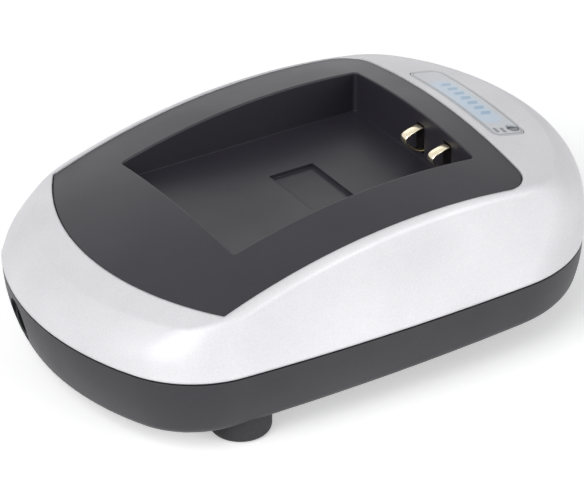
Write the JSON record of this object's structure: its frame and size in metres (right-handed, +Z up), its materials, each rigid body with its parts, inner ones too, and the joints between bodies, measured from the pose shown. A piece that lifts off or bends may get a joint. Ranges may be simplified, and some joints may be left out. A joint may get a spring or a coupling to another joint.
{
  "type": "camera battery charger",
  "caption": "Desk charger for slim camera cells: domed silver shell, dark plate with battery pocket and leaf contacts, dark base tray with a DC inlet.",
  "frame": {"origin": "on the table under the middle of the case outline", "axes": "+X towards the contact end, -X towards the DC inlet, +Z up"},
  "size_m": [0.1, 0.066, 0.0348],
  "materials": {
    "silver_shell": "satin silver paint over moulded plastic",
    "plate_plastic": "fine-textured dark grey moulding",
    "base_plastic": "fine-textured dark grey moulding",
    "foot_rubber": "matt dark foot",
    "contact_gold": "gold-plated spring leaf",
    "black_plastic": "black moulding",
    "label_film": "pale blue panel film",
    "light_window": "smoked light pipe",
    "board_laminate": "green board",
    "steel": "plated steel",
    "copper_wire": "enamelled copper",
    "ferrite": "ferrite",
    "capacitor_sleeve": "shrunk sleeve",
    "red_wire": "wire insulation",
    "black_wire": "wire insulation",
    "led_lens": "diffused lamp"
  },
  "bodies": {
    "root": {"top_shell": "silver_shell", "battery_plate": "plate_plastic", "base_shell": "base_plastic", "contact_positive": "contact_gold", "contact_negative": "contact_gold", "contact_block": "black_plastic", "label_panel": "label_film", "light_pipe": "light_window", "dc_jack_body": "black_plastic", "dc_jack_pin": "steel", "dc_jack_terminals": "steel", "foot_jack_near": "foot_rubber", "foot_jack_far": "foot_rubber", "foot_contact_near": "foot_rubber", "foot_contact_far": "foot_rubber", "circuit_board": "board_laminate", "inductor_core": "ferrite", "inductor_winding": "copper_wire", "capacitor_input": "capacitor_sleeve", "capacitor_output": "capacitor_sleeve", "charge_controller": "black_plastic", "switching_transistor": "black_plastic", "rectifier_diode": "black_plastic", "status_led": "led_lens", "lead_positive": "red_wire", "lead_negative": "black_wire", "case_screws": "steel", "board_screws": "steel"}
  },
  "joints": []
}
